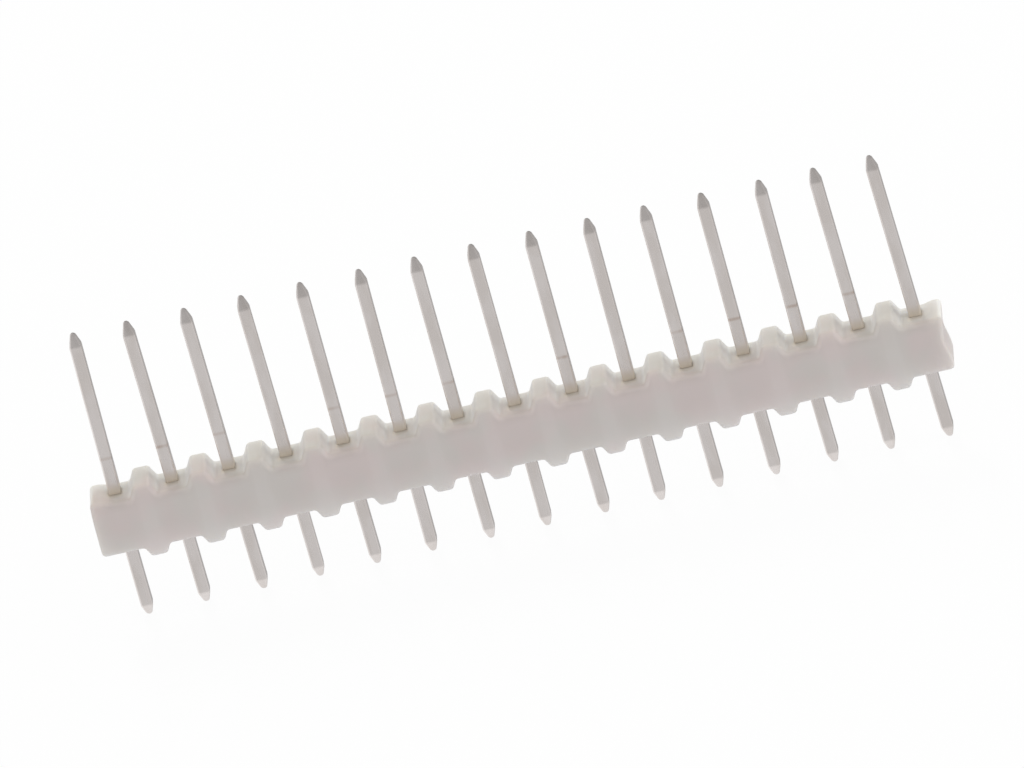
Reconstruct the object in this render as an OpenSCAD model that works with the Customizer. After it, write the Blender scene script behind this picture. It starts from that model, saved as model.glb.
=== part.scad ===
// Single-row pin header strip: square wire pins pressed through one ribbed nylon housing.
// Millimetres. X runs along the row, +Y away from the front face, +Z along the mating pins.
// The origin is on the pin row at the middle of the strip, in the plane the feet rest on.

/* [Pin row] */
// Number of pins in the row
pin_count = 15; // [2:1:36]
// Distance between neighbouring pin axes
pitch = 2.54; // [2:0.01:5.08]

/* [Pins] */
// Side of the square wire
pin_w = 0.54; // [0.45:0.01:0.7]
// Radius along the four long edges of the wire
pin_edge_r = 0.06; // [0.02:0.01:0.1]
// Length of a pin above the rib crests
mating_len = 7.5; // [3:0.05:15]
// Length of a tail below the feet
tail_len = 3.3; // [1.5:0.05:8]
// Length of the coined taper at the mating end
mating_taper = 0.62; // [0.3:0.02:1.2]
// Width of the nose at the mating end, before rounding
mating_nose_w = 0.28; // [0.2:0.01:0.38]
// Length of the coined taper at the tail end
tail_taper = 0.54; // [0.3:0.02:1.2]
// Width of the nose at the tail end, before rounding
tail_nose_w = 0.3; // [0.2:0.01:0.38]
// Radius that rounds both noses
nose_r = 0.11; // [0.03:0.01:0.11]

/* [Housing] */
// Height of the bar, from the lower valley floor to the upper one
bar_h = 2.5; // [1.5:0.05:6]
// Front face to the pin axes
front_depth = 1.07; // [0.7:0.01:2.5]
// Pin axes to the back face
back_depth = 0.73; // [0.7:0.01:2.5]
// End pin axes to the end faces
end_margin = 1.13; // [0.8:0.01:2]
// Radius at the top and bottom edges of the two ends
end_r = 0.2; // [0.05:0.01:0.4]
// Radius of the four upright corners
corner_r = 0.12; // [0.05:0.01:0.3]
// Gap between a pin and the wall of its hole, on each side
pin_fit = 0.01; // [0:0.005:0.03]

/* [Ribs and feet] */
// Height of a rib above the upper valley floor
rib_h = 0.55; // [0.4:0.01:1.2]
// Height of a foot below the lower valley floor
foot_h = 0.45; // [0.4:0.01:1.2]
// Width across a crest, before its corners are rounded
crest_w = 0.68; // [0.5:0.01:0.8]
// Slope of the flanks away from upright, in degrees
flank_angle = 27; // [5:1:35]
// Radius of the crest corners
crest_r = 0.2; // [0.05:0.01:0.22]
// Radius of the fillet between a flank and the valley floor
root_r = 0.18; // [0.05:0.01:0.2]
// Radius of the front and back edges of the crests
crest_edge_r = 0.1; // [0.03:0.01:0.2]

/* [Hidden] */
$fn = 64;

nylon = [0.85, 0.83, 0.78];
tin = [0.74, 0.72, 0.70];

// Levels of the housing, counted up from the plane of the feet
lower_floor = foot_h;
upper_floor = lower_floor + bar_h;
crest_z = upper_floor + rib_h;

// Ends of a pin
pin_top = crest_z + mating_len;
pin_bottom = -tail_len;

row_len = (pin_count - 1) * pitch;
housing_len = row_len + 2 * end_margin;
housing_depth = front_depth + back_depth;

// How far a cutting or joining shape runs past the face that it works on
past = 0.5;

// How far the circle of a rounding cuts past the lines that it blends, so that it crosses
// them and doesn't only touch them
blend = 0.0005;

function pin_name(i) = str("pin_", i < 10 ? "0" : "", i);
function pin_x(i) = (i - 1) * pitch - row_len / 2;
function rib_x(i) = pin_x(i) + pitch / 2;

// The points of half and their mirror images in the y axis, as one outline
function both_halves(half) =
    concat(half, [for (k = [len(half) - 1:-1:0]) [-half[k].x, half[k].y]]);

// What comes off an outer corner to round it. a and b are the directions, of length 1, from
// the centre of the rounding to the two lines that meet in the corner.
module corner_waste(corner, a, b, r) {
    to_corner = (a + b) / (1 + a * b);
    reach = r + past;
    translate(corner - r * to_corner) difference() {
        polygon([[0, 0], reach * a, reach * to_corner, reach * b]);
        circle(r = r + blend);
    }
}

// Elevation of one rib of height h that stands on the line y = 0: a trapezium whose crest
// corners are rounded, and whose flanks run into the floor through fillets
module rib_outline(h) {
    flank = [cos(flank_angle), sin(flank_angle)];
    root_x = crest_w / 2 + h * tan(flank_angle) + root_r * tan((90 - flank_angle) / 2);
    root = [root_x, root_r];
    difference() {
        polygon(both_halves([[root.x, -past], [root.x, 0], root - root_r * flank, [crest_w / 2, h]]));
        for (side = [-1, 1]) {
            translate([side * root.x, root.y]) circle(r = root_r + blend);
            corner_waste([side * crest_w / 2, h], [side * flank.x, flank.y], [0, 1], crest_r);
        }
    }
}

// Rectangle with its lower left corner at from, and rounded corners
module rounded_box_outline(from, size, r) {
    translate(from + [r, 0]) square([size.x - 2 * r, size.y]);
    translate(from + [0, r]) square([size.x, size.y - 2 * r]);
    for (x = [r, size.x - r], y = [r, size.y - r]) translate(from + [x, y]) circle(r = r);
}

// Elevation of the whole housing: the bar, and a rib and a foot between each two pins
module housing_elevation() {
    rounded_box_outline([-housing_len / 2, lower_floor], [housing_len, bar_h], end_r);
    for (i = [1:pin_count - 1]) translate([rib_x(i), 0]) {
        translate([0, upper_floor]) rib_outline(rib_h);
        translate([0, lower_floor]) rotate(180) rib_outline(foot_h);
    }
}

// The elevation carried from front to back, with its upright corners rounded in plan and the
// front and back edges of its crests rounded in the end view
module housing_body() {
    intersection() {
        translate([0, back_depth, 0]) rotate([90, 0, 0])
            linear_extrude(height = housing_depth) housing_elevation();
        translate([0, 0, -past]) linear_extrude(height = crest_z + 2 * past)
            rounded_box_outline([-housing_len / 2, -front_depth], [housing_len, housing_depth], corner_r);
        translate([-housing_len / 2 - past, 0, 0]) rotate([90, 0, 90])
            linear_extrude(height = housing_len + 2 * past)
                rounded_box_outline([-front_depth, 0], [housing_depth, crest_z], crest_edge_r);
    }
}

module pin_hole() {
    w = pin_w + 2 * pin_fit;
    translate([-w / 2, -w / 2, lower_floor - past]) cube([w, w, bar_h + 2 * past]);
}

module housing() {
    color(nylon) difference() {
        housing_body();
        for (i = [1:pin_count]) translate([pin_x(i), 0, 0]) pin_hole();
    }
}

// What comes off the two corners of a nose at height z to round them. way is 1 for an end that
// points up, and -1 for one that points down.
module nose_waste(z, way, taper, nose_w) {
    slope = atan2((pin_w - nose_w) / 2, taper);
    for (side = [-1, 1])
        corner_waste([side * nose_w / 2, z], [side * cos(slope), way * sin(slope)], [0, way], nose_r);
}

// Side view of a whole pin: straight wire that narrows over a taper to a nose at each end
module pin_side_outline() {
    difference() {
        polygon(both_halves([
            [tail_nose_w / 2, pin_bottom],
            [pin_w / 2, pin_bottom + tail_taper],
            [pin_w / 2, pin_top - mating_taper],
            [mating_nose_w / 2, pin_top]
        ]));
        nose_waste(pin_top, 1, mating_taper, mating_nose_w);
        nose_waste(pin_bottom, -1, tail_taper, tail_nose_w);
    }
}

// Square wire, coined on all four sides at both ends
module pin() {
    color(tin) intersection() {
        translate([0, 0, pin_bottom]) linear_extrude(height = pin_top - pin_bottom)
            rounded_box_outline([-pin_w / 2, -pin_w / 2], [pin_w, pin_w], pin_edge_r);
        intersection_for (turn = [0, 90]) rotate([90, 0, turn]) translate([0, 0, -pin_w])
            linear_extrude(height = 2 * pin_w) pin_side_outline();
    }
}

housing();
for (i = [1:pin_count])
    translate([pin_x(i), 0, 0]) pin();
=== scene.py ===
"""Looks of a single-row pin header strip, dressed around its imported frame.

X runs along the row, +Y away from the front face, +Z along the mating pins. Meshes are in
metres. Sizes are written in millimetres and scaled once, where a mesh or a tree takes them.
"""

import enum
import logging
import math
import random
from dataclasses import dataclass, field
from itertools import pairwise
from typing import Any

import bmesh
import bpy
from mathutils import Matrix, Vector


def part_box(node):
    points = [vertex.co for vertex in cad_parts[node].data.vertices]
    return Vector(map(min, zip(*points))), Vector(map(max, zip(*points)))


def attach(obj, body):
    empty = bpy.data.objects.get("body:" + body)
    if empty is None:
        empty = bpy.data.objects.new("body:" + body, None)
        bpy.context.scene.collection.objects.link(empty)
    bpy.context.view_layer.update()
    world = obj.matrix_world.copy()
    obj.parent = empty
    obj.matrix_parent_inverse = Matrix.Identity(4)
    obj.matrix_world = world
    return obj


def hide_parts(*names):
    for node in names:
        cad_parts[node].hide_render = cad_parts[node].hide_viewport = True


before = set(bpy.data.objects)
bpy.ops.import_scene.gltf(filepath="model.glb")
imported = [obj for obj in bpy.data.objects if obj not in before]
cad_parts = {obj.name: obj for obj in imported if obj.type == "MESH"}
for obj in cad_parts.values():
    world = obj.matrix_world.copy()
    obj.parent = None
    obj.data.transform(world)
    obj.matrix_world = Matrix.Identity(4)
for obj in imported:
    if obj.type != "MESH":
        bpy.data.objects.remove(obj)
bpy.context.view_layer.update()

LOG = logging.getLogger("pin_header")

# One millimetre in metres
MM = 0.001
# Points that are closer than this become one, in millimetres
WELD = 0.0005
# Gap between a pin and each wall of its hole, in millimetres
HOLE_GAP = 0.001
# Level of the mark on the pins, in millimetres
MARK_HEIGHT = 4.75
# Edges that turn by more than this stay sharp, in degrees
SHARP_DEG = 50.0
# The grain values over which a roughness goes from its lowest to its highest
GRAIN_SPAN = (0.2, 0.8)
# The noise values over which one tint turns into the other
CLOUD_SPAN = (0.36, 0.64)

Colour = tuple[float, float, float]
# Where something starts and ends to change, or what it is there
Span = tuple[float, float]
# Points in a row, each with its painted light and shade
Loop = list[tuple[Vector, float]]
Socket = bpy.types.NodeSocket
Tree = bpy.types.NodeTree
Material = bpy.types.Material
Piece = bpy.types.Object


def blend(value: float, span: Span) -> float:
    """Runs smoothly from 0 at the span's start to 1 at its end."""
    t = min(max((value - span[0]) / (span[1] - span[0]), 0.0), 1.0)
    return t * t * (3 - 2 * t)


class Zone(enum.IntEnum):
    """Which stretch of the housing a face of its source mesh belongs to."""

    CELL = 0
    LEFT_END = 1
    RIGHT_END = 2


class NodeSheet:
    """A node tree with short calls that add nodes and wire them.

    In a group, given holds what comes in through the group's inputs.
    """

    def __init__(self, tree: Tree) -> None:
        """Takes the tree to fill.

        Args:
            tree: A shader, world or geometry node tree.
        """
        self.tree = tree
        self.given: Any = None

    def feed(self, socket: Socket, value: Any) -> None:
        """Wires a socket to another one, or sets its value.

        Args:
            socket: The input to feed.
            value: An output socket, or a plain value.
        """
        if isinstance(value, Socket):
            self.tree.links.new(value, socket)
        else:
            socket.default_value = value

    def fill(self, node: bpy.types.Node, inputs: dict[Any, Any]) -> None:
        """Feeds inputs of a node, each by its name or number."""
        for key, value in inputs.items():
            self.feed(node.inputs[key], value)

    def add(self, kind: str, inputs: dict[Any, Any] | None = None, **settings: Any) -> bpy.types.Node:
        """Adds a node.

        Args:
            kind: The node's type name.
            inputs: What to feed, by the name or number of the input.
            **settings: The node's own properties.

        Returns:
            The new node.
        """
        node = self.tree.nodes.new(kind)
        for name, value in settings.items():
            setattr(node, name, value)
        self.fill(node, inputs or {})
        return node

    def out(self, kind: str, inputs: dict[Any, Any] | None = None, **settings: Any) -> Socket:
        """Adds a node as add does, and returns its first output."""
        return self.add(kind, inputs, **settings).outputs[0]

    def math(self, operation: str, a: Any, b: Any = 0.0, clamp: bool = False) -> Socket:
        """Adds a Math node of two inputs and returns its output."""
        return self.out("ShaderNodeMath", {0: a, 1: b}, operation=operation, use_clamp=clamp)

    def ramp(self, value: Any, span: Span, to: Span = (0.0, 1.0)) -> Socket:
        """Maps a value smoothly from one range to another, and holds it beyond.

        Args:
            value: What is mapped.
            span: The values at which the result starts and ends to change.
            to: The results there.

        Returns:
            The mapped value's socket.
        """
        inputs = {"Value": value, "From Min": span[0], "From Max": span[1], "To Min": to[0], "To Max": to[1]}
        return self.out("ShaderNodeMapRange", inputs, interpolation_type="SMOOTHSTEP")

    def mix(self, factor: Any, a: Any, b: Any) -> Socket:
        """Mixes two colours.

        Args:
            factor: The share of b.
            a: The first colour or its socket.
            b: The second colour or its socket.

        Returns:
            The mixed colour's socket.
        """
        node = self.add("ShaderNodeMix", data_type="RGBA")
        for name, value in (("Factor_Float", factor), ("A_Color", a), ("B_Color", b)):
            socket = next(s for s in node.inputs if s.identifier == name)
            self.feed(socket, (*value, 1.0) if isinstance(value, tuple) else value)
        return next(s for s in node.outputs if s.identifier == "Result_Color")

    def vector(self, x: Any = 0.0, y: Any = 0.0, z: Any = 0.0) -> Socket:
        """Joins three numbers into a vector and returns its socket."""
        return self.out("ShaderNodeCombineXYZ", {"X": x, "Y": y, "Z": z})

    def own_value(self, name: str) -> Socket:
        """Reads one of the piece's own attributes in a material."""
        return self.add("ShaderNodeAttribute", attribute_name=name).outputs["Fac"]


def new_group(
    name: str, kind: str, inputs: dict[str, tuple[str, Any]], outputs: dict[str, str]
) -> NodeSheet:
    """Makes an empty node group with named sockets.

    Args:
        name: The group's name.
        kind: The tree's type name.
        inputs: Each input's socket type and default value.
        outputs: Each output's socket type.

    Returns:
        A sheet for the group.
    """
    tree = bpy.data.node_groups.new(name, kind)
    for label, (socket_type, default) in inputs.items():
        socket = tree.interface.new_socket(label, in_out="INPUT", socket_type=socket_type)
        if default is not None:
            socket.default_value = default
    for label, socket_type in outputs.items():
        tree.interface.new_socket(label, in_out="OUTPUT", socket_type=socket_type)
    sheet = NodeSheet(tree)
    sheet.given = sheet.add("NodeGroupInput").outputs
    return sheet


def close_tree(sheet: NodeSheet, shape: Socket) -> Tree:
    """Ends a geometry tree with one welded, smooth mesh in the material that it is given.

    Args:
        sheet: The tree's sheet.
        shape: The geometry to end with.

    Returns:
        The finished tree.
    """
    real = sheet.out("GeometryNodeRealizeInstances", {0: shape})
    welded = sheet.out("GeometryNodeMergeByDistance", {0: real, "Distance": WELD * MM})
    smooth = sheet.out("GeometryNodeSetShadeSmooth", {0: welded})
    dressed = sheet.out("GeometryNodeSetMaterial", {0: smooth, "Material": sheet.given["Material"]})
    sheet.add("NodeGroupOutput", {0: dressed})
    return sheet.tree


def own_noise(sheet: NodeSheet, per_mm: str, detail: float, roughness: float) -> Socket:
    """Adds a noise on the piece's own coordinates, drawn out by the group's Stretch input.

    Args:
        sheet: The group's sheet.
        per_mm: The name of the input that says how many spots a millimetre has.
        detail: How many finer layers the noise has.
        roughness: How strong the finer layers are.

    Returns:
        The noise's socket.
    """
    inputs = {0: sheet.add("ShaderNodeTexCoord").outputs["Object"], 1: sheet.given["Stretch"]}
    scaled = sheet.out("ShaderNodeVectorMath", inputs, operation="DIVIDE")
    per_metre = sheet.math("DIVIDE", sheet.given[per_mm], MM)
    inputs = {"Vector": scaled, "Scale": per_metre, "Detail": detail, "Roughness": roughness}
    return sheet.out("ShaderNodeTexNoise", inputs)


def grain_group() -> Tree:
    """Builds the fine surface grain that both materials use.

    Returns:
        A group that puts out a grain from 0 to 1, with a size and a stretch along each axis.
    """
    sheet = new_group(
        "surface_grain",
        "ShaderNodeTree",
        {
            "Grains per mm": ("NodeSocketFloat", 10.0),
            "Stretch": ("NodeSocketVector", (1.0, 1.0, 1.0)),
        },
        {"Grain": "NodeSocketFloat"},
    )
    noise = own_noise(sheet, "Grains per mm", detail=3.0, roughness=0.6)
    sheet.add("NodeGroupOutput", {"Grain": noise})
    return sheet.tree


def cloud_group() -> Tree:
    """Builds the soft patches of tint that both materials use.

    Returns:
        A group that blends two colours in cloudy patches, with a patch size and a stretch.
    """
    sheet = new_group(
        "cloudy_tint",
        "ShaderNodeTree",
        {
            "First": ("NodeSocketColor", None),
            "Second": ("NodeSocketColor", None),
            "Patches per mm": ("NodeSocketFloat", 1.0),
            "Stretch": ("NodeSocketVector", (1.0, 1.0, 1.0)),
        },
        {"Colour": "NodeSocketColor", "Mask": "NodeSocketFloat"},
    )
    mask = sheet.ramp(own_noise(sheet, "Patches per mm", detail=2.0, roughness=0.5), CLOUD_SPAN)
    colour = sheet.mix(mask, sheet.given["First"], sheet.given["Second"])
    sheet.add("NodeGroupOutput", {"Colour": colour, "Mask": mask})
    return sheet.tree


def start_material(name: str) -> tuple[Material, NodeSheet, bpy.types.Node]:
    """Makes a material that is still to be filled.

    Args:
        name: The material's name.

    Returns:
        The material, its sheet and its Principled BSDF.
    """
    made = bpy.data.materials.new(name)
    made.use_nodes = True
    return made, NodeSheet(made.node_tree), made.node_tree.nodes["Principled BSDF"]


@dataclass(frozen=True)
class NylonFinish:
    """Natural nylon as it leaves the mould: cream, slightly cloudy and translucent, satin. Its colour also
    holds painted light and painted shade, set point by point on the bar.
    """

    body: Colour = (0.590, 0.528, 0.532)
    cloud: Colour = (0.566, 0.538, 0.532)
    # Painted light and painted shade: the two colours that the bar's painted light value mixes in
    painted_light: Colour = (0.760, 0.750, 0.770)
    painted_shade: Colour = (0.420, 0.375, 0.378)
    # Painted light: the warm, lighter tint in front of each pin's foot
    painted_base_light: Colour = (0.70, 0.60, 0.52)
    roughness: Span = (0.44, 0.56)
    refraction: float = 1.53
    glow: float = 0.6
    glow_depth_mm: float = 0.8
    glow_reach: Colour = (1.0, 0.95, 0.85)
    grains_per_mm: float = 14.0
    grain_depth_mm: float = 0.004
    patches_per_mm: float = 0.5

    def material(self, grain: Tree, cloud: Tree) -> Material:
        """Builds the material.

        Args:
            grain: The shared grain group.
            cloud: The shared tint group.

        Returns:
            The nylon material.
        """
        made, sheet, shader = start_material("natural_nylon")
        patches = {
            "First": (*self.body, 1.0),
            "Second": (*self.cloud, 1.0),
            "Patches per mm": self.patches_per_mm,
        }
        tint = sheet.add("ShaderNodeGroup", patches, node_tree=cloud).outputs["Colour"]
        # The bar's painted light and shade: above 0 it paints the nylon lighter, below 0 darker
        through = sheet.own_value("glow")
        lit = sheet.mix(through, tint, self.painted_light)
        painted_shading = sheet.mix(sheet.math("MULTIPLY", through, -1.0), lit, self.painted_shade)
        fine = sheet.out("ShaderNodeGroup", {"Grains per mm": self.grains_per_mm}, node_tree=grain)
        relief = {"Height": fine, "Distance": self.grain_depth_mm * MM, "Strength": 1.0}
        sheet.fill(shader, {
            # Painted light in front of each pin's foot, laid over the painted light and shade
            "Base Color": sheet.mix(sheet.own_value("painted_base_light"), painted_shading, self.painted_base_light),
            "Roughness": sheet.ramp(fine, GRAIN_SPAN, self.roughness),
            "Normal": sheet.out("ShaderNodeBump", relief),
            "IOR": self.refraction,
            "Subsurface Weight": self.glow,
            "Subsurface Radius": self.glow_reach,
            "Subsurface Scale": self.glow_depth_mm * MM,
        })
        return made


@dataclass(frozen=True)
class TinFinish:
    """Tin over drawn copper-alloy wire: light satin metal, streaked along the wire."""

    bright: Colour = (0.790, 0.742, 0.722)
    dull: Colour = (0.740, 0.688, 0.660)
    mark: Colour = (0.58, 0.49, 0.44)
    # Painted shade and reflection: a brown, less metallic tint on each mating pin's lowest part, just above
    # the bar
    painted_low_shade: Colour = (0.58, 0.52, 0.42)
    low_shade_share: float = 0.66
    low_shade_span_mm: Span = (2.95, 3.58)
    low_roughness: float = 0.3
    roughness: Span = (0.23, 0.39)
    streaks_per_mm: float = 16.0
    streak_stretch: float = 26.0
    streak_depth_mm: float = 0.0016
    patches_per_mm: float = 1.6
    patch_stretch: float = 3.0
    mark_half_mm: float = 0.13
    mark_share: Span = (0.45, 1.0)

    def material(self, grain: Tree, cloud: Tree) -> Material:
        """Builds the material.

        Args:
            grain: The shared grain group.
            cloud: The shared tint group.

        Returns:
            The tin material.
        """
        made, sheet, shader = start_material("tin_plate")
        patches = {
            "First": (*self.bright, 1.0),
            "Second": (*self.dull, 1.0),
            "Patches per mm": self.patches_per_mm,
            "Stretch": (1.0, 1.0, self.patch_stretch),
        }
        tint = sheet.add("ShaderNodeGroup", patches, node_tree=cloud).outputs
        place = sheet.add("ShaderNodeTexCoord").outputs["Object"]
        height = sheet.add("ShaderNodeSeparateXYZ", {0: place}).outputs["Z"]
        start, end = (level * MM for level in self.low_shade_span_mm)
        above_bar = sheet.math("GREATER_THAN", height, start / 2)
        # Painted shade and reflection on the pin's lowest part above the bar, fading upward; the tin is also
        # less metallic and rougher there
        reach = sheet.math("MULTIPLY", sheet.ramp(height, (start, end), (1.0, 0.0)), above_bar)
        bare = sheet.math("SUBTRACT", 1.0, reach)
        painted_low_shade = sheet.math("MULTIPLY", reach, self.low_shade_share)
        low_shaded = sheet.mix(painted_low_shade, tint["Colour"], self.painted_low_shade)
        streaks = {"Grains per mm": self.streaks_per_mm, "Stretch": (1.0, 1.0, self.streak_stretch)}
        fine = sheet.out("ShaderNodeGroup", streaks, node_tree=grain)
        rough = sheet.ramp(fine, GRAIN_SPAN, self.roughness)
        matt = sheet.math("MULTIPLY", reach, self.low_roughness)
        relief = {"Height": fine, "Distance": self.streak_depth_mm * MM, "Strength": bare}
        sheet.fill(shader, {
            "Base Color": sheet.mix(self.mark_mask(sheet, height, tint["Mask"]), low_shaded, self.mark),
            "Metallic": sheet.math("SUBTRACT", 1.0, painted_low_shade),
            "Roughness": sheet.math("ADD", rough, matt),
            "Normal": sheet.out("ShaderNodeBump", relief),
        })
        return made

    def mark_mask(self, sheet: NodeSheet, height: Socket, clouds: Socket) -> Socket:
        """Masks the faint brown line that a clamp left round a marked pin.

        Args:
            sheet: The material's sheet.
            height: The height socket.
            clouds: A soft mask that makes the line uneven.

        Returns:
            The mask's socket.
        """
        away = sheet.math("ABSOLUTE", sheet.math("SUBTRACT", height, MARK_HEIGHT * MM))
        line = sheet.ramp(away, (0.0, self.mark_half_mm * MM), (1.0, 0.0))
        line = sheet.math("MULTIPLY", line, sheet.own_value("marked"))
        return sheet.math("MULTIPLY", line, sheet.ramp(clouds, (0.0, 1.0), self.mark_share))


def add_object(name: str, data: bpy.types.ID) -> Piece:
    """Adds an object to the scene.

    Args:
        name: The object's name.
        data: Its mesh, lamp or camera.

    Returns:
        The object.
    """
    made = bpy.data.objects.new(name, data)
    bpy.context.scene.collection.objects.link(made)
    return made


def set_inputs(modifier: bpy.types.Modifier, values: dict[str, Any]) -> None:
    """Sets a geometry modifier's inputs through the identifiers of its named sockets.

    Args:
        modifier: The Geometry Nodes modifier.
        values: Each input's value by its name.
    """
    for item in modifier.node_group.interface.items_tree:
        if item.item_type == "SOCKET" and item.in_out == "INPUT" and item.name in values:
            modifier[item.identifier] = values[item.name]


def bake_piece(name: str, source: bpy.types.Mesh, tree: Tree, values: dict[str, Any]) -> Piece:
    """Runs a geometry tree and keeps its result as a plain mesh with clean normals.

    Args:
        name: The piece's name.
        source: The mesh that the tree starts from.
        tree: The geometry tree.
        values: The tree's inputs by name.

    Returns:
        The finished object, at the origin, with no modifier left.
    """
    piece = add_object(name, source)
    modifier = piece.modifiers.new("shape", "NODES")
    modifier.node_group = tree
    set_inputs(modifier, values)
    replace_mesh(piece)
    shell = bmesh.new()
    shell.from_mesh(piece.data)
    bmesh.ops.recalc_face_normals(shell, faces=shell.faces)
    open_edges = sum(1 for edge in shell.edges if not edge.is_manifold)
    shell.to_mesh(piece.data)
    shell.free()
    piece.data.set_sharp_from_angle(angle=math.radians(SHARP_DEG))
    weighted = piece.modifiers.new("even_normals", "WEIGHTED_NORMAL")
    weighted.keep_sharp = True
    replace_mesh(piece)
    LOG.info("%s: %d faces, %d open edges", name, len(piece.data.polygons), open_edges)
    return piece


def replace_mesh(piece: Piece) -> None:
    """Puts the evaluated mesh of a piece in its place and clears its modifiers.

    Args:
        piece: The object whose modifiers are applied.
    """
    graph = bpy.context.evaluated_depsgraph_get()
    done = bpy.data.meshes.new_from_object(piece.evaluated_get(graph), depsgraph=graph)
    piece.modifiers.clear()
    piece.data = done
    done.name = piece.name


@dataclass(frozen=True)
class Station:
    """A point of an outline with the direction that the surface faces there."""

    x: float
    z: float
    nx: float
    nz: float
    at_hole: bool = False

    def mirrored(self) -> "Station":
        """The same point on the other side of the outline's middle."""
        return Station(-self.x, self.z, -self.nx, self.nz, self.at_hole)


@dataclass(frozen=True)
class BrokenEnd:
    """How an end of the bar differs from a flat one, where it was broken off a longer strip.

    The top rises toward the end, and the end face is drawn in round one level.
    """

    rise: float
    rise_span: Span
    inset: float
    neck: float
    neck_z: float
    neck_spread: float
    inset_span: Span = (0.5, 1.0)

    def shift(self, along: float, z: float, floor: float, middle: float) -> tuple[float, float]:
        """Says how far a point of the end moves.

        Args:
            along: The point's distance from the end pin's axis.
            z: The point's level.
            floor: The level of the valley floor.
            middle: The level from which nothing rises.

        Returns:
            The way toward the end pin and the way up.
        """
        up = self.rise * blend(along, self.rise_span) * blend(z, (middle, floor))
        waist = self.neck * math.exp(-((z - self.neck_z) / self.neck_spread) ** 2)
        return (self.inset + waist) * blend(along, self.inset_span), up


class Shell:
    """A mesh that grows in patches, whose faces know their zone and whose points their painted light and
    shade.
    """

    def __init__(self) -> None:
        """Starts an empty mesh with its two layers."""
        self.mesh = bmesh.new()
        self.zone = self.mesh.faces.layers.int.new("zone")
        # Layer of each point's painted light and shade
        self.glow = self.mesh.verts.layers.float.new("glow")

    def add_patch(self, rows: list[Loop], which: Zone) -> None:
        """Adds the four-sided faces between rows of points.

        Args:
            rows: Rows of points with their painted light and shade.
            which: The zone of these faces.
        """
        grid = []
        for row in rows:
            grid.append([self.mesh.verts.new(point) for point, _ in row])
            for vert, (_, value) in zip(grid[-1], row):
                vert[self.glow] = value
        for near, far in pairwise(grid):
            for (a, b), (d, c) in zip(pairwise(near), pairwise(far)):
                self.mesh.faces.new((a, b, c, d))[self.zone] = int(which)


@dataclass(frozen=True)
class PaintedNylonLight:
    """Painted light and painted shade on the nylon, from 1 and above where it is painted lightest to below 0
    where it is painted darker.

    Each strength has a span of distances over which it comes in or fades.
    """

    hole_half: float
    upper_floor: float
    crest: float = 0.26
    floor: float = 0.10
    floor_span: Span = (0.15, 0.45)
    flank: float = 0.75
    high_flank: float = 0.45
    back: float = 0.35
    back_span: Span = (-0.2, 0.6)
    pin: float = 0.35
    pin_beside: float = 0.25
    pin_ahead: float = 0.30
    left: float = 0.40
    left_in: Span = (0.0, 0.35)
    left_out: Span = (0.95, 1.15)
    left_ahead: Span = (-0.05, 0.5)
    edge_loss: float = 0.9
    edge: float = 0.12
    edge_span: Span = (0.80, 0.98)
    edge_valley: float = 0.30
    edge_valley_span: Span = (0.20, 0.75)
    face: float = 0.05
    face_span: Span = (0.0, 0.9)
    face_valley: float = 0.11
    face_valley_span: Span = (0.40, 1.00)
    rim: float = 0.08
    rim_valley: float = 0.26
    rim_span: Span = (0.0, 0.55)
    feet: float = 0.45
    feet_height: float = 1.7
    feet_power: float = 1.5

    def above(self, point: Vector, spot: Station, offset: float) -> float:
        """Gives the painted light and shade of the upper surface.

        It paints the flanks of the ribs, the back edge and the nylon close to a pin lightest, the left
        of a pin a little darker, and the front edge of a valley darkest.

        Args:
            point: The point.
            spot: The outline's station.
            offset: The way to the right from the nearest pin's axis.

        Returns:
            The painted light and shade.
        """
        # Painted light on the flanks, the back edge and near each pin; painted shade left of a pin and at a
        # valley's front edge
        flank = min(abs(spot.nx), 2 * abs(spot.nz))
        low = 1.0 - blend(spot.z, self.floor_span)
        level = self.crest + self.floor * low
        level += self.flank * flank * (self.high_flank + (1.0 - self.high_flank) * low)
        level += self.back * blend(point.y, self.back_span)
        near = 1.0 - blend(abs(offset) - self.hole_half, (0.0, self.pin_beside))
        near *= 1.0 - blend(abs(point.y) - self.hole_half, (0.0, self.pin_ahead))
        level += self.pin * near
        left = blend(-offset, self.left_in) * (1.0 - blend(-offset, self.left_out))
        level -= self.left * left * blend(-point.y, self.left_ahead)
        edge = blend(-point.y, self.edge_span)
        valley = 1.0 - blend(abs(offset), self.edge_valley_span)
        return level * (1.0 - self.edge_loss * edge) - (self.edge + self.edge_valley * valley) * edge

    def around(self, point: Vector, offset: float) -> float:
        """Gives the painted light and shade of the front, back and end faces and of the feet.

        Args:
            point: The point.
            offset: The way to the right from the nearest pin's axis.

        Returns:
            The painted light and shade: lightest at the feet, and painted shade below 0 under the front edge
                of a valley.
        """
        # Painted light at the feet; painted shade under the front edge of a valley
        ahead = blend(-point.y, self.face_span)
        valley = 1.0 - blend(abs(offset), self.face_valley_span)
        rim = 1.0 - blend(self.upper_floor - point.z, self.rim_span)
        feet = self.feet * max(0.0, 1.0 - point.z / self.feet_height) ** self.feet_power
        shade = self.rim * rim + (self.face_valley + self.rim_valley * rim) * valley
        return self.face + feet - ahead * shade


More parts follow.
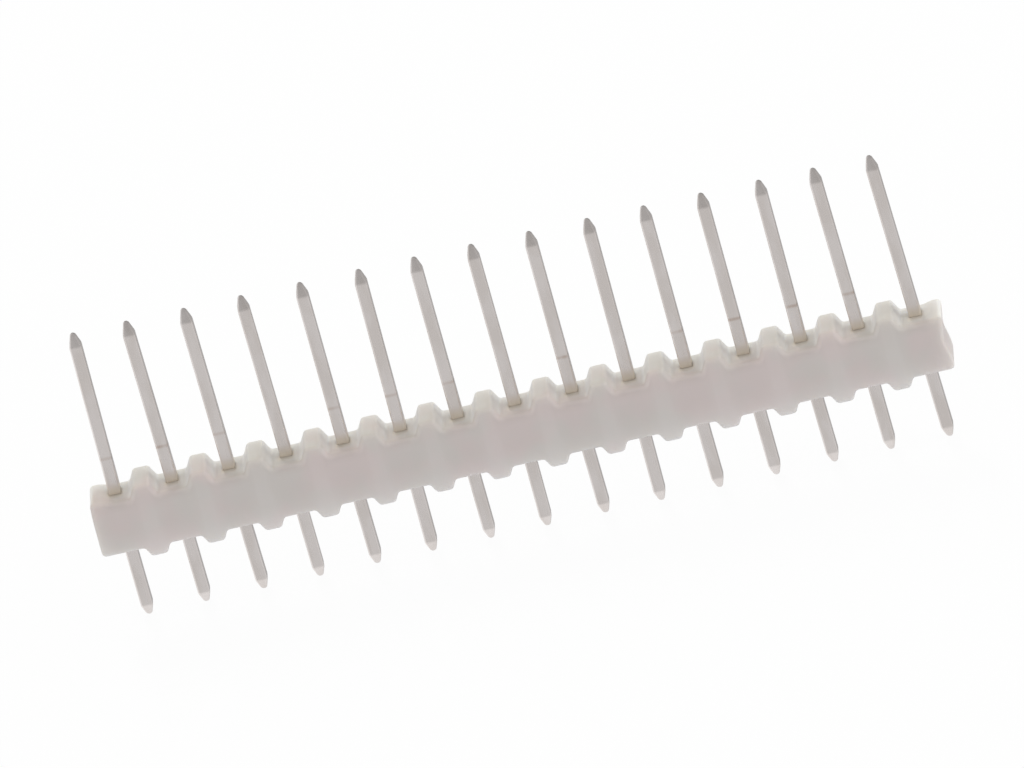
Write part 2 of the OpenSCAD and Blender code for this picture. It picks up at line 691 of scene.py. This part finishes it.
@dataclass
class RibbedHousing:
    """The moulded bar, with a rib above and a foot below between each two pins."""

    pins: int
    pitch: float
    hole_half: float
    front: float
    back: float
    crest_z: float
    end_margin: float
    rib_h: float = 0.55
    foot_h: float = 0.45
    crest_w: float = 0.68
    flank_deg: float = 27.0
    crest_r: float = 0.20
    root_r: float = 0.18
    end_r: float = 0.20
    upper_edges: tuple[float, float] = (0.18, 0.10)
    lower_edges: tuple[float, float] = (0.06, 0.06)
    mouth: float = 0.0015
    arc_steps: int = 6
    edge_steps: int = 4
    face_rows: tuple[float, ...] = (0.14, 0.34, 0.70, 1.12)
    face_reach: float = 0.45
    near_hole: float = 0.12
    before_end: float = 0.22
    # Painted light in front of each pin's foot: its strength and the spans over which it fades
    base_light_share: float = 0.8
    base_light_beside: Span = (0.0, 0.18)
    base_light_ahead: Span = (0.0, 0.45)
    base_light_level: Span = (0.05, 0.2)
    left_end: BrokenEnd = BrokenEnd(
        rise=0.14, rise_span=(0.30, 0.48), inset=-0.04, neck=0.05, neck_z=2.95, neck_spread=0.45
    )
    right_end: BrokenEnd = BrokenEnd(
        rise=0.10, rise_span=(0.40, 0.80), inset=-0.03, neck=0.15, neck_z=1.85, neck_spread=0.60
    )

    def rib_half(self, height: float) -> list[Station]:
        """Follows the outline from the middle of a rib to the next pin axis.

        Args:
            height: The rib's height over the valley floor.

        Returns:
            The stations, with the valley floor at z = 0.
        """
        lean = math.radians(self.flank_deg)
        cut = math.tan((math.pi / 2 - lean) / 2)
        crest_x = self.crest_w / 2 - self.crest_r * cut
        root_x = self.crest_w / 2 + height * math.tan(lean) + self.root_r * cut
        half = [Station(0.0, height, 0.0, 1.0)]
        half += self.arc(crest_x, height - self.crest_r, self.crest_r, math.pi / 2, lean)
        half += self.arc(root_x, self.root_r, -self.root_r, lean, math.pi / 2)
        return half + self.past_hole(self.pitch / 2, -1)[::-1]

    def arc(self, x: float, z: float, radius: float, start: float, end: float) -> list[Station]:
        """Follows a rounding of the outline, or a fillet where the radius is below 0.

        Args:
            x: The centre's place along the row.
            z: The centre's level.
            radius: The radius.
            start: The angle at which the surface faces where the arc starts.
            end: The angle at which it faces where the arc ends.

        Returns:
            The stations.
        """
        angles = [start + (end - start) * k / self.arc_steps for k in range(self.arc_steps + 1)]
        facing = [(math.cos(angle), math.sin(angle)) for angle in angles]
        return [Station(x + radius * nx, z + radius * nz, nx, nz) for nx, nz in facing]

    def past_hole(self, axis: float, way: int) -> list[Station]:
        """Steps along the valley floor from a pin's axis past the side wall of its hole.

        Args:
            axis: The axis's place along the row.
            way: 1 to step to the right, -1 to the left.

        Returns:
            The stations.
        """
        steps = [(0.0, True), (self.hole_half, True)]
        steps += [(self.hole_half + self.mouth, False), (self.hole_half + self.near_hole, False)]
        return [Station(axis + way * step, 0.0, 0.0, 1.0, at_hole) for step, at_hole in steps]

    def cell(self, height: float) -> list[Station]:
        """Follows the outline from one pin axis over a rib to the next pin axis."""
        half = self.rib_half(height)
        return [s.mirrored() for s in reversed(half[1:])] + half

    def end(self) -> list[Station]:
        """Follows the outline of the right end.

        Returns:
            The stations from the end pin's axis to where the end face begins.
        """
        flat = self.end_margin - self.end_r
        stretch = self.past_hole(0.0, 1)
        stretch.append(Station(flat - self.before_end, 0.0, 0.0, 1.0))
        return stretch + self.arc(flat, -self.end_r, self.end_r, math.pi / 2, 0.0)

    def lip(self, spot: Station, floor: float, way: int, edges: tuple[float, float]) -> list[Vector]:
        """Crosses the upper or lower surface from the front plane to the back plane.

        Args:
            spot: The outline's station.
            floor: The level of the valley floor.
            way: 1 for the upper surface, -1 for the lower one.
            edges: The radii of its front edge and its back edge.

        Returns:
            The points, rounded over the front and back edges and dipped into the hole's mouth.
        """
        turns = [math.pi / 2 * k / self.edge_steps for k in range(self.edge_steps + 1)]
        front, back = ([(r * (1 - math.cos(a)), r * (1 - math.sin(a))) for a in turns] for r in edges)
        dip = self.mouth if spot.at_hole else 0.0
        rows = [(self.front + y, inset) for y, inset in front]
        rows += [((self.front - self.hole_half) / 2, 0.0), (-self.hole_half - self.mouth, 0.0)]
        rows += [(-self.hole_half, dip), (self.hole_half, dip)]
        rows += [(self.hole_half + self.mouth, 0.0), ((self.back + self.hole_half) / 2, 0.0)]
        rows += [(self.back - y, inset) for y, inset in reversed(back)]
        return [
            Vector((spot.x - inset * spot.nx, y, floor + way * (spot.z - inset * spot.nz)))
            for y, inset in rows
        ]

    def loop(self, above: Station, below: Station, which: Zone) -> Loop:
        """Goes once round the bar at one place along the row.

        Args:
            above: The upper outline's station.
            below: The lower outline's station.
            which: The zone of the stretch.

        Returns:
            Each point with its painted light and shade.
        """
        top = self.lip(above, self.upper_floor, 1, self.upper_edges)
        bottom = self.lip(below, self.lower_floor, -1, self.lower_edges)
        offset = above.x - math.copysign(self.pitch / 2, above.x) if which is Zone.CELL else above.x
        back, front = self.column(top[-1], bottom[-1]), self.column(top[0], bottom[0])
        around = back + bottom[::-1] + front[::-1]
        # Painted light and shade of each point
        lit_top = [(p, self.glow.above(p, above, offset)) for p in top]
        return lit_top + [(p, self.glow.around(p, offset)) for p in around]

    def column(self, high: Vector, low: Vector) -> list[Vector]:
        """Steps down a flat face between its upper and its lower edge.

        Args:
            high: The point on the upper edge.
            low: The point on the lower edge.

        Returns:
            The points between them, most of them near the two edges.
        """
        height = (high - low).length
        drops = [min(row, self.face_reach * height) for row in self.face_rows]
        down = (low - high) / height
        return [high + down * d for d in drops] + [low - down * d for d in reversed(drops)]

    @property
    def hole_row(self) -> int:
        """The number of a lip's point on the front wall of a hole."""
        return self.edge_steps + 3

    @property
    def lip_length(self) -> int:
        """The number of points across a lip."""
        return 2 * (self.hole_row + 1)

    @property
    def glow(self) -> PaintedNylonLight:
        """The painted light and shade of this bar."""
        return PaintedNylonLight(self.hole_half, self.upper_floor)

    @property
    def lower_floor(self) -> float:
        """The level of the lower valley floor."""
        return self.foot_h

    @property
    def upper_floor(self) -> float:
        """The level of the upper valley floor."""
        return self.crest_z - self.rib_h

    def source_mesh(self) -> bpy.types.Mesh:
        """Builds one cell and the two ends, each face marked with its zone.

        Returns:
            The mesh that the geometry tree repeats, in metres.
        """
        shell = Shell()
        self.add_stretch(shell, self.cell(self.rib_h), self.cell(self.foot_h), Zone.CELL)
        right = self.end()
        left = [station.mirrored() for station in right]
        for stations, which, shape in (
            (left, Zone.LEFT_END, self.left_end),
            (right, Zone.RIGHT_END, self.right_end),
        ):
            before = set(shell.mesh.verts)
            last = self.add_stretch(shell, stations, stations, which)
            self.add_end_face(shell, last, which)
            self.break_off(set(shell.mesh.verts) - before, shape)
        bmesh.ops.remove_doubles(shell.mesh, verts=shell.mesh.verts, dist=WELD)
        self.paint_base_light(shell.mesh)
        bmesh.ops.scale(shell.mesh, vec=(MM, MM, MM), verts=shell.mesh.verts)
        mesh = bpy.data.meshes.new("housing_source")
        shell.mesh.to_mesh(mesh)
        shell.mesh.free()
        return mesh

    def paint_base_light(self, shell: bmesh.types.BMesh) -> None:
        """Paints a warm, lighter tint on the upper surface in front of each pin, as painted light that lifts
        the shade at the pin's foot.

        Args:
            shell: The source mesh. Pin axes lie at the cell's two sides and at x = 0 of each end.
        """
        painted_base_light = shell.verts.layers.float.new("painted_base_light")
        zone = shell.faces.layers.int["zone"]
        for vert in shell.verts:
            in_cell = any(face[zone] == Zone.CELL for face in vert.link_faces)
            beside = self.pitch / 2 - abs(vert.co.x) if in_cell else abs(vert.co.x)
            share = self.base_light_share * (1.0 - blend(beside - self.hole_half, self.base_light_beside))
            share *= 1.0 - blend(-vert.co.y - self.hole_half, self.base_light_ahead)
            share *= 1.0 - blend(vert.co.y, (-self.hole_half, self.hole_half))
            vert[painted_base_light] = share * (1.0 - blend(abs(self.upper_floor - vert.co.z), self.base_light_level))

    def break_off(self, verts: set[bmesh.types.BMVert], shape: BrokenEnd) -> None:
        """Gives an end the uneven shape of a broken face.

        Args:
            verts: The end's points, with x = 0 at the end pin's axis.
            shape: The end's shape.
        """
        middle = (self.lower_floor + self.upper_floor) / 2
        for vert in verts:
            inward, up = shape.shift(abs(vert.co.x), vert.co.z, self.upper_floor, middle)
            vert.co.x -= inward * math.copysign(1.0, vert.co.x)
            vert.co.z += up

    def add_stretch(self, shell: Shell, above: list[Station], below: list[Station], which: Zone) -> Loop:
        """Skins a stretch of the bar and lines the halves of the holes in it.

        Args:
            shell: The mesh that grows.
            above: The stations of the upper outline.
            below: The stations of the lower outline.
            which: The zone of these faces.

        Returns:
            The loop at the last station.
        """
        loops = [self.loop(a, b, which) for a, b in zip(above, below)]
        top_left = self.hole_row
        bottom_right = self.lip_length + 2 * len(self.face_rows) + top_left
        for (near, here), (far, there) in pairwise(zip(loops, above)):
            if not (here.at_hole and there.at_hole):
                shell.add_patch([near + near[:1], far + far[:1]], which)
                continue
            closed = [loop + loop[:1] for loop in (near, far)]
            for first, last in ((0, top_left), (top_left + 1, bottom_right), (bottom_right + 1, len(near))):
                shell.add_patch([loop[first:last + 1] for loop in closed], which)
            for high, low in ((top_left, bottom_right + 1), (top_left + 1, bottom_right)):
                shell.add_patch([[near[high], near[low]], [far[high], far[low]]], which)
            side = near if self.is_wall(here, which) else far
            wall = [[side[top_left], side[bottom_right + 1]], [side[top_left + 1], side[bottom_right]]]
            shell.add_patch(wall, which)
        return loops[-1]

    def is_wall(self, spot: Station, which: Zone) -> bool:
        """Says whether a hole's side wall stands at a station, and not its pin's axis."""
        from_axis = abs(spot.x) if which is not Zone.CELL else self.pitch / 2 - abs(spot.x)
        return abs(from_axis - self.hole_half) < WELD

    def add_end_face(self, shell: Shell, last: Loop, which: Zone) -> None:
        """Closes an end between the upper and lower lips of its last loop.

        Args:
            shell: The mesh that grows.
            last: The loop at the end's last station.
            which: The zone of these faces.
        """
        start = self.lip_length + 2 * len(self.face_rows)
        top = [p for p, _ in last[:self.lip_length]]
        bottom = [p for p, _ in reversed(last[start:start + self.lip_length])]
        columns = [[a] + self.column(a, b) + [b] for a, b in zip(top, bottom)]
        lit = [[(p, self.glow.around(p, p.x)) for p in column] for column in columns]
        shell.add_patch(lit, which)

    def tree(self) -> Tree:
        """Builds the geometry tree that repeats the cell along the row and adds the ends.

        Returns:
            The tree, whose inputs are the number of pins, the pitch and the material.
        """
        sheet = new_group(
            "ribbed_bar",
            "GeometryNodeTree",
            {
                "Geometry": ("NodeSocketGeometry", None),
                "Pins": ("NodeSocketInt", 2),
                "Pitch": ("NodeSocketFloat", 1.0),
                "Material": ("NodeSocketMaterial", None),
            },
            {"Geometry": "NodeSocketGeometry"},
        )
        given = sheet.given
        zone = sheet.out("GeometryNodeInputNamedAttribute", {"Name": "zone"}, data_type="INT")
        ribs = sheet.math("SUBTRACT", given["Pins"], 1.0)
        half_pitch = sheet.math("MULTIPLY", given["Pitch"], 0.5)
        half_row = sheet.math("MULTIPLY", ribs, half_pitch)
        start = sheet.vector(x=sheet.math("SUBTRACT", half_pitch, half_row))
        inputs = {"Count": ribs, "Start Location": start, "Offset": sheet.vector(x=given["Pitch"])}
        line = sheet.out("GeometryNodeMeshLine", inputs)
        joined = sheet.add("GeometryNodeJoinGeometry")
        for which, along in ((Zone.CELL, None), (Zone.LEFT_END, -1.0), (Zone.RIGHT_END, 1.0)):
            same = {2: zone, 3: int(which)}
            chosen = sheet.out("FunctionNodeCompare", same, data_type="INT", operation="EQUAL")
            inputs = {"Geometry": given["Geometry"], "Selection": chosen}
            part = sheet.out("GeometryNodeSeparateGeometry", inputs, domain="FACE")
            if along is None:
                placed = sheet.out("GeometryNodeInstanceOnPoints", {"Points": line, "Instance": part})
            else:
                shift = sheet.vector(x=sheet.math("MULTIPLY", half_row, along))
                placed = sheet.out("GeometryNodeTransform", {"Geometry": part, "Translation": shift})
            sheet.feed(joined.inputs[0], placed)
        return close_tree(sheet, joined.outputs[0])

    def build(self, material: Material) -> Piece:
        """Builds the housing and sets it in the frame.

        Args:
            material: The nylon.

        Returns:
            The finished piece.
        """
        values = {"Pins": self.pins, "Pitch": self.pitch * MM, "Material": material}
        piece = bake_piece("moulded_bar", self.source_mesh(), self.tree(), values)
        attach(piece, "root")
        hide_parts("housing")
        return piece


@dataclass(frozen=True)
class Stance:
    """How far one pin stands out of line, in millimetres at its tips, and its turn in degrees.

    marked says how strong its mark is, from 0 to 1.
    """

    top: float = 0.0
    tail: float = 0.0
    turn: float = 0.0
    marked: float = 1.0


@dataclass
class PinRow:
    """The square wires, each coined at both ends, that stand through the housing."""

    names: list[str]
    width: float
    bottom: float
    top: float
    bar_low: float
    bar_high: float
    edge_r: float = 0.08
    mating_taper: float = 0.62
    mating_nose: float = 0.25
    tail_taper: float = 0.54
    tail_nose: float = 0.27
    nose_r: float = 0.20
    shoulder_r: float = 0.50
    crown: float = 0.11
    tip_share: float = 0.35
    tip_drop: float = 0.002
    edge_steps: int = 4
    turn_steps: int = 6
    mark_half: float = 0.09
    mark_depth: float = 0.003
    seed: int = 15
    slight_spans: tuple[Span, ...] = ((-0.02, 0.01), (0.01, 0.03), (-0.8, 0.8), (0.6, 1.0))
    leaning: dict[int, Stance] = field(default_factory=lambda: {
        1: Stance(top=0.10, tail=0.01),
        2: Stance(top=-0.08, tail=0.02),
        3: Stance(top=-0.07, tail=0.05),
        4: Stance(top=-0.07, tail=0.02, turn=3.0, marked=0.0),
        6: Stance(top=0.07, tail=-0.03),
        8: Stance(top=-0.02, tail=-0.02, turn=2.0, marked=0.0),
        10: Stance(top=0.04, tail=-0.03, marked=0.0),
        12: Stance(top=0.0, tail=0.01),
        13: Stance(top=0.02, tail=0.06),
        14: Stance(top=-0.12, tail=0.03),
        15: Stance(top=-0.17, tail=0.09, marked=0.0),
    })

    def tree(self) -> Tree:
        """Builds the geometry tree that draws one wire.

        The side outline, from one nose over both tapers to the other nose, is a curve of corners
        with rounded turns. Each of its points sets how wide the square section is at its height.

        Returns:
            The tree, with the wire's sizes, lean, turn and mark as inputs.
        """
        inputs: dict[str, tuple[str, Any]] = {"Geometry": ("NodeSocketGeometry", None)}
        for name in (*self.sizes(Stance()), "Centre", "Turn", "Marked"):
            inputs[name] = ("NodeSocketFloat", 0.0)
        inputs["Material"] = ("NodeSocketMaterial", None)
        sheet = new_group("square_wire", "GeometryNodeTree", inputs, {"Geometry": "NodeSocketGeometry"})
        given = sheet.given
        sides = {"Width": given["Width"], "Height": given["Width"]}
        square = sheet.out("GeometryNodeCurvePrimitiveQuadrilateral", sides)
        corners = {"Curve": square, "Radius": given["Edge Radius"], "Count": self.edge_steps}
        section = sheet.out("GeometryNodeFilletCurve", corners, mode="POLY")
        share = sheet.out("GeometryNodeInputRadius")
        sweep = {"Curve": self.side_outline(sheet), "Profile Curve": section, "Scale": share}
        wire = sheet.out("GeometryNodeCurveToMesh", sweep)
        mark = {"Geometry": self.stand(sheet, wire), "Name": "marked", "Value": given["Marked"]}
        marked = sheet.out("GeometryNodeStoreNamedAttribute", mark, data_type="FLOAT")
        return close_tree(sheet, marked)

    def side_outline(self, sheet: NodeSheet) -> Socket:
        """Draws the wire's axis, with the section's size at each height as its radius.

        Args:
            sheet: The tree's sheet.

        Returns:
            The curve's socket.
        """
        given = sheet.given
        half = sheet.math("MULTIPLY", given["Width"], 0.5)
        nicked = sheet.math("SUBTRACT", half, given["Mark Depth"])
        tip_r = sheet.math("MULTIPLY", given["Nose Radius"], self.tip_share)
        ends = []
        for way, tip, taper, nose in (
            ("ADD", "Bottom", "Tail Taper", "Tail Nose"),
            ("SUBTRACT", "Top", "Mating Taper", "Mating Nose"),
        ):
            nose_half = sheet.math("MULTIPLY", given[nose], 0.5)
            tip_half = sheet.math("MULTIPLY", nose_half, self.tip_share)
            ends.append([
                (0.0, given[tip], 0.0),
                (tip_half, sheet.math(way, given[tip], self.tip_drop * MM), tip_r),
                (nose_half, sheet.math(way, given[tip], given["Crown"]), given["Nose Radius"]),
                (half, sheet.math(way, given[tip], given[taper]), given["Shoulder Radius"]),
            ])
        corners = ends[0] + [
            (half, given["Bar Low"], 0.0),
            (half, given["Bar High"], 0.0),
            (half, sheet.math("SUBTRACT", given["Mark Height"], given["Mark Half"]), 0.0),
            (nicked, given["Mark Height"], 0.0),
            (half, sheet.math("ADD", given["Mark Height"], given["Mark Half"]), 0.0),
        ] + ends[1][::-1]
        index = sheet.out("GeometryNodeInputIndex")
        places = sheet.add("GeometryNodeIndexSwitch", data_type="VECTOR")
        radii = sheet.add("GeometryNodeIndexSwitch", data_type="FLOAT")
        for switch in (places, radii):
            while len(switch.index_switch_items) < len(corners):
                switch.index_switch_items.new()
            sheet.feed(switch.inputs["Index"], index)
        for k, (across, height, radius) in enumerate(corners):
            sheet.feed(places.inputs[k + 1], sheet.vector(x=across, z=height))
            sheet.feed(radii.inputs[k + 1], radius)
        line = sheet.out("GeometryNodeMeshLine", {"Count": len(corners)})
        path = sheet.out("GeometryNodeMeshToCurve", {"Mesh": line})
        drawn = {"Geometry": path, "Position": places.outputs[0]}
        shaped = sheet.out("GeometryNodeSetPosition", drawn)
        turns = {"Curve": shaped, "Radius": radii.outputs[0], "Count": self.turn_steps}
        rounded = sheet.out("GeometryNodeFilletCurve", turns, mode="POLY")
        spot = sheet.add("ShaderNodeSeparateXYZ", {0: sheet.out("GeometryNodeInputPosition")}).outputs
        share = sheet.math("DIVIDE", spot["X"], half)
        sized = sheet.out("GeometryNodeSetCurveRadius", {"Curve": rounded, "Radius": share})
        upright = {"Geometry": sized, "Position": sheet.vector(z=spot["Z"])}
        return sheet.out("GeometryNodeSetPosition", upright)

    def stand(self, sheet: NodeSheet, wire: Socket) -> Socket:
        """Turns a wire, leans its free ends and moves it to its place in the row.

        Args:
            sheet: The tree's sheet.
            wire: The wire's geometry socket.

        Returns:
            The standing wire's geometry socket.
        """
        given = sheet.given
        place = sheet.out("GeometryNodeInputPosition")
        turn = {"Vector": place, "Angle": given["Turn"]}
        turned = sheet.out("ShaderNodeVectorRotate", turn, rotation_type="Z_AXIS")
        height = sheet.add("ShaderNodeSeparateXYZ", {0: place}).outputs["Z"]
        drifts = []
        for start, end, drift in (("Bar High", "Top", "Top Drift"), ("Bar Low", "Bottom", "Tail Drift")):
            lean = {"From Min": given[start], "From Max": given[end], "To Max": given[drift]}
            drifts.append(sheet.out("ShaderNodeMapRange", {"Value": height, **lean}))
        along = sheet.math("ADD", sheet.math("ADD", drifts[0], drifts[1]), given["Centre"])
        shift = {0: turned, 1: sheet.vector(x=along)}
        placed = sheet.out("ShaderNodeVectorMath", shift, operation="ADD")
        return sheet.out("GeometryNodeSetPosition", {"Geometry": wire, "Position": placed})

    def stance(self, number: int, dice: random.Random) -> Stance:
        """Chooses how a pin stands.

        Args:
            number: The pin's number in the row, from 1.
            dice: The row's seeded source of small differences.

        Returns:
            The chosen stance of the pins that plainly lean, and a slight one for the rest.
        """
        slight = Stance(*(dice.uniform(low, high) for low, high in self.slight_spans))
        return self.leaning.get(number, slight)

    def sizes(self, stance: Stance) -> dict[str, float]:
        """Lists the lengths that one wire is drawn from.

        Args:
            stance: How the wire stands.

        Returns:
            The lengths in millimetres, by the names of the tree's inputs.
        """
        return {
            "Width": self.width,
            "Edge Radius": self.edge_r,
            "Bottom": self.bottom,
            "Top": self.top,
            "Bar Low": self.bar_low,
            "Bar High": self.bar_high,
            "Mating Taper": self.mating_taper,
            "Mating Nose": self.mating_nose,
            "Tail Taper": self.tail_taper,
            "Tail Nose": self.tail_nose,
            "Nose Radius": self.nose_r,
            "Shoulder Radius": self.shoulder_r,
            "Crown": self.crown,
            "Mark Height": MARK_HEIGHT,
            "Mark Half": self.mark_half,
            "Mark Depth": self.mark_depth * stance.marked,
            "Top Drift": stance.top,
            "Tail Drift": stance.tail,
        }

    def build(self, material: Material) -> list[Piece]:
        """Builds every pin and sets it in the frame.

        Args:
            material: The tin.

        Returns:
            The finished pieces, from left to right.
        """
        tree = self.tree()
        dice = random.Random(self.seed)
        made = []
        for number, node in enumerate(self.names, 1):
            low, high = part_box(node)
            stance = self.stance(number, dice)
            values: dict[str, Any] = {name: size * MM for name, size in self.sizes(stance).items()}
            values["Centre"] = (low.x + high.x) / 2
            values["Turn"] = math.radians(stance.turn)
            values["Marked"] = stance.marked
            values["Material"] = material
            name = "wire_" + node.removeprefix("pin_")
            piece = bake_piece(name, bpy.data.meshes.new("wire_source"), tree, values)
            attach(piece, "root")
            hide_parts(node)
            made.append(piece)
        return made


@dataclass(frozen=True)
class Lamp:
    """A soft area lamp that looks at the strip."""

    name: str
    azimuth: float
    elevation: float
    distance: float
    width: float
    height: float
    watts: float
    colour: Colour


@dataclass
class Studio:
    """The pale floor, the light and the camera."""

    floor_z: float
    floor_half: float = 400.0
    azimuth: float = 6.35
    elevation: float = 28.5
    roll: float = 15.58
    lens: float = 1200.0
    sensor: float = 36.0
    clip_mm: float = 10.0
    picture_width: float = 1024.0
    pixels_per_mm: float = 23.14
    aim_right: float = -0.808
    aim_up: float = 3.289
    low_sky: Colour = (0.760, 0.715, 0.695)
    high_sky: Colour = (0.730, 0.737, 0.650)
    sky_span: Span = (0.0, 0.9)
    room_sides: Span = (0.69, 0.48)
    room_behind_y: Span = (-0.3, 0.3)
    room_behind_x: Span = (-0.2, 0.3)
    room_above: float = 0.66
    room_above_span: Span = (-0.45, 0.1)
    room_glows: tuple[tuple[str, Span, Span], ...] = (
        ("Z", (-0.80, -0.55), (0.24, 0.0)),
        ("X", (-0.80, -0.25), (0.35, 0.0)),
        ("X", (0.30, 0.85), (0.0, 0.12)),
    )
    floor_colour: Colour = (0.80, 0.82, 0.88)
    camera_floor_glow: float = 0.95
    lamps: tuple[Lamp, ...] = (
        Lamp("key", 192.0, 50.0, 400.0, 60.0, 160.0, 0.42, (1.0, 0.995, 0.90)),
        Lamp("front_fill", -15.0, 20.0, 450.0, 400.0, 300.0, 0.27, (1.0, 0.96, 0.97)),
        Lamp("right_fill", 85.0, 25.0, 450.0, 300.0, 300.0, 0.68, (0.97, 1.0, 0.96)),
    )

    def build(self) -> None:
        """Builds the world, the floor, the lamps and the camera."""
        bpy.context.scene.view_settings.view_transform = "Standard"
        self.build_world()
        self.build_floor()
        for lamp in self.lamps:
            self.build_lamp(lamp)
        self.build_camera()

    def build_world(self) -> None:
        """Sets an even ambient light behind which the camera sees plain white."""
        world = bpy.data.worlds.new("studio")
        world.use_nodes = True
        bpy.context.scene.world = world
        sheet = NodeSheet(world.node_tree)
        background = world.node_tree.nodes["Background"]
        rays = sheet.add("ShaderNodeLightPath").outputs
        seen = sheet.math("ADD", rays["Is Camera Ray"], rays["Is Transmission Ray"], clamp=True)
        direction = sheet.add("ShaderNodeTexCoord").outputs["Generated"]
        axes = sheet.add("ShaderNodeSeparateXYZ", {0: direction}).outputs
        soft = sheet.mix(sheet.ramp(axes["Z"], self.sky_span), self.low_sky, self.high_sky)
        mirrored = self.mirrored_room(sheet, axes)
        lit = sheet.mix(rays["Is Glossy Ray"], soft, mirrored)
        sheet.feed(background.inputs["Color"], sheet.mix(seen, lit, (1.0, 1.0, 1.0)))

    def mirrored_room(self, sheet: NodeSheet, axes: Any) -> Socket:
        """Gives metal a room to mirror: pale in front, darker behind and above, bright at the left.

        Args:
            sheet: The world's sheet.
            axes: The X, Y and Z outputs of the direction.

        Returns:
            The room's colour socket.
        """
        far, right = sheet.ramp(axes["Y"], self.room_behind_y), sheet.ramp(axes["X"], self.room_behind_x)
        around = sheet.ramp(sheet.math("MULTIPLY", far, right), (0.0, 1.0), self.room_sides)
        height = sheet.ramp(axes["Z"], self.room_above_span, (1.0, self.room_above))
        level = sheet.math("MULTIPLY", around, height)
        for axis, span, glow in self.room_glows:
            level = sheet.math("ADD", level, sheet.ramp(axes[axis], span, glow))
        return sheet.vector(level, level, level)

    def build_floor(self) -> None:
        """Lays the floor under the tails."""
        half = self.floor_half * MM
        shell = bmesh.new()
        around = ((-half, -half), (half, -half), (half, half), (-half, half))
        shell.faces.new([shell.verts.new((x, y, self.floor_z * MM)) for x, y in around])
        mesh = bpy.data.meshes.new("floor")
        shell.to_mesh(mesh)
        shell.free()
        mesh.materials.append(self.floor_material())
        floor = add_object("floor", mesh)
        floor.visible_glossy = False

    def floor_material(self) -> Material:
        """Makes the floor pale, and near white to the camera, with a trace of the shadow left.

        Returns:
            The floor's material.
        """
        made, sheet, shader = start_material("pale_floor")
        nodes = made.node_tree.nodes
        nodes.remove(shader)
        rays = sheet.add("ShaderNodeLightPath").outputs
        matt = sheet.out("ShaderNodeBsdfDiffuse", {"Color": (*self.floor_colour, 1.0)})
        white = sheet.out("ShaderNodeEmission", {"Color": (1.0, 1.0, 1.0, 1.0)})
        seen = sheet.math("ADD", rays["Is Camera Ray"], rays["Is Transmission Ray"], clamp=True)
        share = sheet.math("MULTIPLY", seen, self.camera_floor_glow)
        done = sheet.out("ShaderNodeMixShader", {0: share, 1: matt, 2: white})
        sheet.feed(nodes["Material Output"].inputs["Surface"], done)
        return made

    def build_lamp(self, lamp: Lamp) -> None:
        """Hangs a lamp.

        Args:
            lamp: Its place, size, power and colour.
        """
        data = bpy.data.lights.new(lamp.name, "AREA")
        data.shape = "RECTANGLE"
        data.size = lamp.width * MM
        data.size_y = lamp.height * MM
        data.energy = lamp.watts
        data.color = lamp.colour
        body = add_object(lamp.name, data)
        toward = self.direction(lamp.azimuth, lamp.elevation)
        place = toward * lamp.distance * MM
        facing = toward.to_track_quat("Z", "Y").to_matrix().to_4x4()
        body.matrix_world = Matrix.Translation(place) @ facing
        body.visible_glossy = False

    @staticmethod
    def direction(azimuth: float, elevation: float) -> Vector:
        """Gives the direction from the strip to a viewer. Azimuth 0 is in front, 90 is at +X."""
        a, e = math.radians(azimuth), math.radians(elevation)
        return Vector((math.sin(a) * math.cos(e), -math.cos(a) * math.cos(e), math.sin(e)))

    def build_camera(self) -> None:
        """Sets the camera at the photograph's viewing angle, far off behind a long lens."""
        back = self.direction(self.azimuth, self.elevation)
        level = self.direction(self.azimuth + 90.0, 0.0)
        upright = self.direction(self.azimuth + 180.0, 90.0 - self.elevation)
        roll = math.radians(self.roll)
        right = level * math.cos(roll) - upright * math.sin(roll)
        up = level * math.sin(roll) + upright * math.cos(roll)
        distance = self.lens * self.picture_width / self.pixels_per_mm / self.sensor
        aim = right * self.aim_right + up * self.aim_up
        place = (aim + back * distance) * MM
        camera = bpy.data.cameras.new("camera")
        camera.lens = self.lens
        camera.sensor_width = self.sensor
        camera.clip_start = self.clip_mm * MM
        body = add_object("camera", camera)
        body.matrix_world = Matrix.Translation(place) @ Matrix((right, up, back)).transposed().to_4x4()
        bpy.context.scene.camera = body


def box_mm(node: str) -> tuple[Vector, Vector]:
    """Reads the two corners of a node's box from the frame, in millimetres."""
    low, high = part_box(node)
    return low / MM, high / MM


def measured_housing(pin_names: list[str]) -> RibbedHousing:
    """Reads the housing's overall sizes from the frame.

    Args:
        pin_names: The pin nodes from left to right.

    Returns:
        The housing, in millimetres.
    """
    low, high = box_mm("housing")
    first_low, first_high = box_mm(pin_names[0])
    second_low, _ = box_mm(pin_names[1])
    first_x = (first_low.x + first_high.x) / 2
    return RibbedHousing(
        pins=len(pin_names),
        pitch=second_low.x - first_low.x,
        hole_half=(first_high.x - first_low.x) / 2 + HOLE_GAP,
        front=low.y,
        back=high.y,
        crest_z=high.z,
        end_margin=first_x - low.x,
    )


def main() -> None:
    """Builds the studio and the pieces in order."""
    logging.basicConfig(level=logging.INFO, format="%(name)s: %(message)s")
    pin_names = sorted(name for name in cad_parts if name.startswith("pin_"))
    grain, cloud = grain_group(), cloud_group()
    nylon = NylonFinish().material(grain, cloud)
    tin = TinFinish().material(grain, cloud)
    housing = measured_housing(pin_names)
    low, high = box_mm(pin_names[0])
    pins = PinRow(
        names=pin_names,
        width=high.x - low.x,
        bottom=low.z,
        top=high.z,
        bar_low=housing.lower_floor,
        bar_high=housing.upper_floor,
    )
    Studio(floor_z=low.z).build()
    LOG.info("built %s", housing.build(nylon).name)
    LOG.info("built %d wires", len(pins.build(tin)))


if __name__ == "__main__":
    main()
